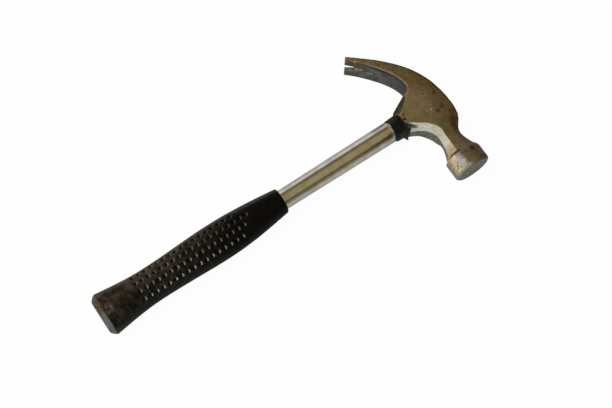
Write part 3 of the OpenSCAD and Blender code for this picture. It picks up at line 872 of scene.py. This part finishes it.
def striking_end(n, s, colour):
    """Striking face and the worn ring of its chamfer, pale only where it faces the window, as a painted
    highlight. Returns the colour and the face's share.
    """
    face = n.step(s.ny, -0.8, -0.93)
    ring = n.times((s.py, -60.2, -61.0), (s.ny, -0.3, -0.55), (s.ny, -0.93, -0.85))
    # The ring is pale only on the side facing the window: worn steel with a painted highlight
    colour = n.tint(colour, "9EA292", ring, s.butt_side, (s.ragged, 0.6, 0.42), 0.7)
    steel = n.ramp(s.ragged, 0.38, 0.64, "969493", "6C6A68")
    steel = n.tint(steel, "767A70", (s.cloud, 0.45, 0.6), 0.5)
    return n.tint(colour, steel, face), face


def edge_wear_highlight_and_shade(n, s, colour, face):
    """Painted shade along the outer arc, a painted highlight along the claw's inside edge, and a little pale
    wear on the other edges.
    """
    worn = n.step(n.shift(s.edge, s.fine, 0.1), 0.13, 0.22)
    colour = n.tint(colour, "94876A", worn, n.math("SUBTRACT", 1.0, face), 0.25)
    # Painted highlight along the top of the claw's inside
    inside = n.times((s.outward, -0.06, -0.12), (s.pz, 9, 11))
    along_claw = n.times((s.py, 16, 26), (s.py, 55, 49))
    broken = n.blend((n.noise(s.place, 0.5, 2, 0.5), 0.4, 0.55), 0.35, 1.0)
    colour = n.tint(colour, "A69684", inside, along_claw, broken, 0.75)
    # Painted shade along the outer arc, which faces away from the window
    return n.tint(colour, "2A2015", (s.outward, 0.02, 0.08), (s.py, -30, -23), 0.85)


def compound_lap(n, s):
    """Share of the compound that laps over the socket's mouth."""
    ways = n.shift(n.times((s.py, -2.5, -6.0), -1.0), n.step(s.py, 2.0, 6.0), 0.8)
    lap = n.step(n.shift(n.math("ADD", s.px, ways), s.ragged, 2.2), 281.0, 280.5)
    return n.times(lap, (s.py, 14, 12), (s.py, -14, -12))


def forged_steel():
    """Brown patina over forged steel, worn to bare metal on the neck, the poll, the claw and the edges, with
    painted highlights and reflections on the neck's chamfers, the poll and the claw's inside edge, and
    painted shade on the crown side, inside the claw and in the poll's crease.
    """
    material, n, place, normal = new_material("forged_steel")
    s = steel_skin(n, place, normal)
    colour, dark_sides = dark_chamfers(n, s, socket_lines(n, s, patina(n, s)))
    colour = n.dabs(colour, place, STAINS, s.ragged, 1.6)
    colour = n.tint(colour, "1E1206", n.kept("nick"), 0.95)
    colour, walls = dark_walls(n, s, colour)
    colour = slot_walls(n, s, colour)
    colour, neck = pale_chamfers(n, s, colour)
    # The worn share returned for the poll is its painted highlight band
    colour, worn = poll_wear_and_highlight(n, s, colour)
    colour, face = striking_end(n, s, colour)
    colour = n.dabs(colour, place, GLINTS_AND_STAINS, s.ragged, 1.3)
    colour = edge_wear_highlight_and_shade(n, s, colour, face)
    lap = compound_lap(n, s)
    colour = n.tint(colour, "0C0A0A", lap, 0.97)
    metallic = n.blend(dark_sides, n.blend(walls, 0.25, 0.45), 0.9)
    metallic = n.blend(worn, n.blend(face, n.blend(neck, metallic, 0.55), 0.6), 0.5)
    metallic = n.times(metallic, n.math("SUBTRACT", 1.0, lap))
    bright = n.math("MAXIMUM", n.math("MAXIMUM", neck, worn), face)
    rough = n.blend(bright, 0.52, 0.42)
    rough = n.math("MULTIPLY_ADD", n.math("SUBTRACT", s.fine, 0.5), 0.25, rough, clamp=True)
    height = n.shift(n.shift(s.cloud, s.fine, 0.8), n.noise(place, 5.5), 0.35)
    close_material(n, colour, rough, metallic, height, 0.24, 0.9, specular=0.35)
    return material


# Stains and glints on the tube beside the compound: place, radius and colour
TUBE_SPOTS = (
    (264.5, -4.5, 7.6, 1.6, "8A6A58"), (262, -5.4, 6.9, 1.3, "8A6A58"),
    (267.3, -3.8, 7.9, 1.2, "7E6656"), (267.6, 5.6, 6.7, 1.3, "F4ECE0"),
    (268, -6.9, 5.4, 1.2, "E6EEE4"), (267.4, -8.2, 3, 1.2, "DCE6DC"),
)


def chrome_plate():
    """Bright plating with fine lengthwise scuffs, dulled and stained towards the head, with a painted
    reflection in a ring beside the compound.
    """
    material, n, place, _ = new_material("chrome_plate")
    px, py, _ = n.parts(place)
    scuff = n.noise(n.stretch(place, (0.06, 1.6, 1.6)), 1.0, 4)
    haze = n.noise(place, 0.12, 4)
    fine = n.noise(place, 1.3)
    smear = n.noise(n.stretch(place, (0.25, 1.0, 1.0)), 0.55)
    near_head = n.times((px, 252, 268), (fine, 0.35, 0.62))
    # Dark streak on the face side, where the neck is mirrored
    streak = n.times((py, -3.2, -4.6), (py, -7.6, -6.4), (px, 240, 254))
    # Greenish, less metallic ring beside the compound: a painted reflection
    ring_sheen = n.times((n.shift(px, fine, 3.0), 267.5, 271.0), 0.5)
    colour = n.layers(
        n.ramp(haze, 0.4, 0.65, "E4E1DC", "D2CBC0"),
        ("B9AC98", (smear, 0.54, 0.68), 0.15),
        ("B08F6E", near_head, 0.5),
        ("7A6A5E", streak, (smear, 0.36, 0.5), 0.6),
        ("9C9C7C", ring_sheen))
    for x, y, z, radius, other in TUBE_SPOTS:
        colour = n.tint(colour, other, n.spot(place, (x, y, z), radius, fine, 2.0), 0.7)
    rough = n.shift(n.blend((scuff, 0.45, 0.7), 0.1, 0.22), near_head, 0.14)
    metallic = n.shift(1.0, ring_sheen, -0.9)
    close_material(n, colour, rough, metallic, n.shift(scuff, haze, 2.0), 0.02, 0.35)
    return material


def turned_steel():
    """Plain turned steel with rings from the tool."""
    material, n, place, _ = new_material("turned_steel")
    _, py, pz = n.parts(place)
    radius = n.math("SQRT", n.math("ADD", n.math("POWER", py, 2.0), n.math("POWER", pz, 2.0)))
    rings = n.math("SINE", n.times(radius, 22.0))
    cloud = n.noise(place, 0.5, 4)
    colour = n.ramp(cloud, 0.42, 0.62, "8E8A82", "5E5342")
    close_material(n, colour, n.blend(cloud, 0.3, 0.55), 0.9, rings, 0.02, 0.4)
    return material


def sealing_pitch():
    """Black compound, bluish on the face side and with a brown, dusty skin on the claw side."""
    material, n, place, _ = new_material("sealing_pitch")
    py = n.parts(place)[1]
    cloud = n.noise(place, 0.5, 4)
    fine = n.noise(place, 2.0)
    specks = n.noise(place, 1.1, 2, 0.5)
    colour = n.layers(
        n.ramp(py, 1, -4, "060504", "08080E"),
        ("2E3038", (n.shift(py, cloud, 4.0), -4.5, -8.0)),
        ("2A1A10", (py, 1, 5), (fine, 0.44, 0.6), 0.85),
        ("5A4630", (specks, 0.58, 0.66), (py, -2, 4), 0.7),
        ("3C403E", (specks, 0.4, 0.32), (py, 2, -3), 0.8))
    rough = n.blend((cloud, 0.4, 0.62), 0.3, 0.66)
    close_material(n, colour, rough, 0.0, n.shift(cloud, fine, 0.6), 0.45, 1.0, specular=0.26)
    return material


# Direction of the dimple walls that get a painted highlight
HIGHLIGHT_WALL = (-1.0, 0.06, 0.0)
# Middle and radius of the scuff by the butt, with the directions across and along its streaks
SCUFF_AT = (9.4, -3.6, 13.4)
SCUFF_R = 4.4
SCUFF_ACROSS = (0.92, -0.39, 0.0)
SCUFF_ALONG = (0.39, 0.92, 0.0)


def rubber_skin(n, place, px, py, ny, cloud, blotch, fine):
    """Black rubber, brown with dust on the claw half, with a grey painted sheen along the claw side, greyer
    towards the butt and scuffed by its rim.
    """
    patches = n.noise(place, 0.22, rough=0.5)
    toward_butt = n.step(px, 125, 45)
    olive = n.ramp(patches, 0.38, 0.64, "181811", "30312A")
    brown = n.ramp(patches, 0.38, 0.64, "2E241A", "443930")
    claw_half = n.step(n.shift(py, cloud, 6.0), -2, 8)
    slanted = n.join(n.dot(place, SCUFF_ACROSS), n.times(n.dot(place, SCUFF_ALONG), 0.22), 0.0)
    streak = n.step(n.noise(slanted, 0.75, rough=0.55), 0.4, 0.62)
    scuff = n.ramp(blotch, 0.4, 0.6, "8E8078", "4E3E34")
    return n.layers(
        n.ramp(cloud, 0.42, 0.66, "040303", "0C0B08"),
        (olive, toward_butt, (cloud, 0.36, 0.6), 0.9),
        (brown, (px, 150, 35), claw_half, (n.noise(place, 0.05, 4), 0.34, 0.56), 0.85),
        # Grey painted sheen along the claw side's silhouette, bluish black along the face side
        ("4E4B46", (ny, 0.35, 0.75), (fine, 0.34, 0.58), 0.7),
        ("1C1C20", (ny, -0.45, -0.85), toward_butt, 0.6),
        ("4C4A3A", (n.noise(place, 1.2, 2, 0.5), 0.62, 0.68), toward_butt, 0.5),
        (scuff, n.spot(place, SCUFF_AT, SCUFF_R, cloud, 10.0), streak, 0.6))


def dimple_marks(n, place, normal, px, py, fine, colour):
    """Painted shade in the dimples' bottoms and a painted highlight on their walls that face the window,
    paler towards the face side.
    """
    hollow = n.kept("hollow")
    # Painted shade in the dimples' bottoms
    colour = n.tint(colour, "030302", (hollow, 0.25, 0.7), 0.9)
    # Painted highlight on the dimple walls that face the window
    wall = n.shift(n.dot(normal, HIGHLIGHT_WALL), n.math("SUBTRACT", fine, 0.5), 0.3)
    lit = n.times((wall, 0.1, 0.5), (hollow, 0.01, 0.1))
    by_row = n.blend((py, 6, -11), 0.3, 0.95)
    patchy = n.blend((n.noise(place, 0.45, 2, 0.5), 0.35, 0.6), 0.5, 1.0)
    patchy = n.times(patchy, n.blend((px, 60, 125), 1.0, 0.62))
    pale = n.ramp(py, -8, -4, "A6A59C", "8C8B84")
    pale = n.tint(pale, "7E7466", (py, 2, 8))
    return n.tint(colour, pale, lit, by_row, patchy)


def butt_marks(n, px, py, nx, cloud, blotch, colour):
    """Rim of the butt, worn and with painted light from the window, tan on the claw half and slate on the
    face half, and its dusty end.
    """
    # The rim faces the window: its pale colour is partly wear, partly painted light
    rim = n.times((px, 6.5, 5.2), (nx, -0.3, -0.5), (nx, -0.99, -0.93))
    tan = n.ramp(blotch, 0.4, 0.6, "5C4E38", "403626")
    slate = n.ramp(blotch, 0.4, 0.62, "626867", "4E5352")
    slate = n.tint(slate, n.ramp(blotch, 0.38, 0.62, "737374", "58585A"), (py, -6, -11))
    worn = n.mix((n.shift(py, cloud, 3.0), -3.0, 0.6), slate, tan)
    worn = n.tint(worn, "4A4A42", (n.shift(py, blotch, 3.0), 7.0, 11.0))
    colour = n.tint(colour, worn, rim, 0.9)
    return n.tint(colour, "3A3126", (nx, -0.95, -0.99), (cloud, 0.4, 0.6))


def moulded_rubber():
    """Black rubber with a fine grain, dust, a grey painted sheen on the claw side, painted highlights on the
    dimple walls and painted shade in their bottoms, and a scuffed butt whose rim carries painted light.
    """
    material, n, place, normal = new_material("moulded_rubber")
    px, py, _ = n.parts(place)
    nx, ny, _ = n.parts(normal)
    cloud = n.noise(place, 0.25, 5, 0.65)
    blotch = n.noise(place, 0.6, 4, 0.65)
    fine = n.noise(place, 1.8, 4)
    colour = rubber_skin(n, place, px, py, ny, cloud, blotch, fine)
    colour = dimple_marks(n, place, normal, px, py, fine, colour)
    colour = butt_marks(n, px, py, nx, cloud, blotch, colour)
    rough = n.blend((cloud, 0.4, 0.65), 0.5, 0.66)
    height = n.shift(n.math("ADD", fine, blotch), n.noise(place, 9.0, 2, 0.5), 0.5)
    close_material(n, colour, rough, 0.0, height, 0.14, 0.8, specular=0.14)
    return material


def moulded_plastic():
    """Grey plastic of the plug inside the grip."""
    material, n, place, _ = new_material("moulded_plastic")
    cloud = n.noise(place, 0.6, 4)
    colour = n.ramp(cloud, 0.4, 0.65, "5A5C60", "4A4B4E")
    close_material(n, colour, n.blend(cloud, 0.45, 0.65), 0.0, cloud, 0.05, 0.5)
    return material


# Studio

# Direction of the window, to the left of the photograph
LEFT = (-0.8308, 0.5566, 0.0)


def studio_floor():
    """Pale floor under the hammer. Seen directly it is nearly white, in gloss mostly an even grey, and it
    keeps the shadow.
    """
    size = 6.0
    mesh = bpy.data.meshes.new("floor")
    corners = [(-size, -size), (size, -size), (size, size), (-size, size)]
    mesh.from_pydata([(x, y, FLOOR_Z * MM) for x, y in corners], [], [(0, 1, 2, 3)])
    floor = new_object("floor", mesh)
    material = bpy.data.materials.new("floor")
    material.use_nodes = True
    n = Nodes(material.node_tree)
    ray = n.add("LightPath")
    lit = n.add("BsdfDiffuse", {"Color": (0.82, 0.82, 0.82)})
    glow = n.add("Emission", {"Color": (1.0, 1.0, 1.0)})
    dim = n.add("Emission", {"Color": (0.36, 0.36, 0.35)})
    seen = n.times(ray.outputs["Is Camera Ray"], 0.97)
    mirrored = n.times(ray.outputs["Is Glossy Ray"], 0.65)
    surface = n.add("MixShader", {0: mirrored, 1: lit, 2: dim})
    surface = n.add("MixShader", {0: seen, 1: surface, 2: glow})
    n.add("OutputMaterial", {"Surface": surface})
    mesh.materials.append(material)


def studio_world():
    """Room with a bright window on the left, a brown ceiling and a dim right side, white where it shows."""
    world = bpy.data.worlds.new("studio")
    world.use_nodes = True
    bpy.context.scene.world = world
    n = Nodes(world.node_tree)
    way = n.add("TexCoord").outputs["Generated"]
    dx, dy, dz = n.parts(way)
    side = n.dot(way, LEFT)
    # Height over the window's top edge, which rises towards the claw
    over = n.math("SUBTRACT", n.shift(dz, dy, -0.42), 0.24)
    pane = n.times((over, 0.14, -0.14), (side, 0.02, 0.12))
    ceiling = n.ramp(dy, 0.68, 0.1, "6E6048", "A09472")
    right = n.ramp(dz, 0.2, 0.44, "8A867A", "665A40")
    # Pale wall low on the near side
    near_wall = n.times((dx, -0.05, -0.3), (dy, -0.3, -0.55), (dz, 0.62, 0.42))
    right = n.tint(right, "E2E2D6", near_wall)
    room = n.mix((dz, 0.56, 0.86), right, ceiling)
    room = n.mix((dy, -0.4, -0.1), room, ceiling)
    room = n.add("Background", {"Color": room})
    bright = n.add("Background", {"Color": (0.97, 0.98, 1.0), "Strength": 0.7})
    around = n.add("MixShader", {0: pane, 1: room, 2: bright})
    white = n.add("Background", {"Color": (1.0, 1.0, 1.0)})
    seen = n.add("LightPath").outputs["Is Camera Ray"]
    n.add("OutputWorld", {
        "Surface": n.add("MixShader", {0: seen, 1: around, 2: white})})


def aim(thing, place):
    """Places a lamp or camera and turns it to the middle of the photograph."""
    thing.location = place
    way = Vector(CAMERA_TO) * MM - thing.location
    thing.rotation_euler = way.to_track_quat("-Z", "Y").to_euler()


def studio_lamp():
    """Soft overhead lamp that brings the whole to a plain level. Metal doesn't mirror it."""
    light = bpy.data.lights.new("soft_lamp", "AREA")
    light.shape = "DISK"
    light.size = 1.2
    light.energy = 20.0
    lamp = new_object("soft_lamp", light)
    aim(lamp, (-0.55, 0.55, 1.3))
    lamp.visible_glossy = False


def studio_camera():
    data = bpy.data.cameras.new("camera")
    data.sensor_width = 36.0
    data.lens = LENS
    data.clip_start, data.clip_end = 0.05, 50.0
    camera = new_object("camera", data)
    aim(camera, Vector(CAMERA_AT) * MM)
    bpy.context.scene.camera = camera


# Scene

studio_camera()
studio_floor()
studio_world()
studio_lamp()
bpy.context.scene.view_settings.view_transform = "Standard"

forged_head(forged_steel())
chromed_tube(chrome_plate())
driven_plug(turned_steel())
seal_compound(sealing_pitch())
rubber_grip(moulded_rubber())
plastic = moulded_plastic()
for slot in frame["nodes"]["tube_end_plug"].material_slots:
    slot.material = plastic
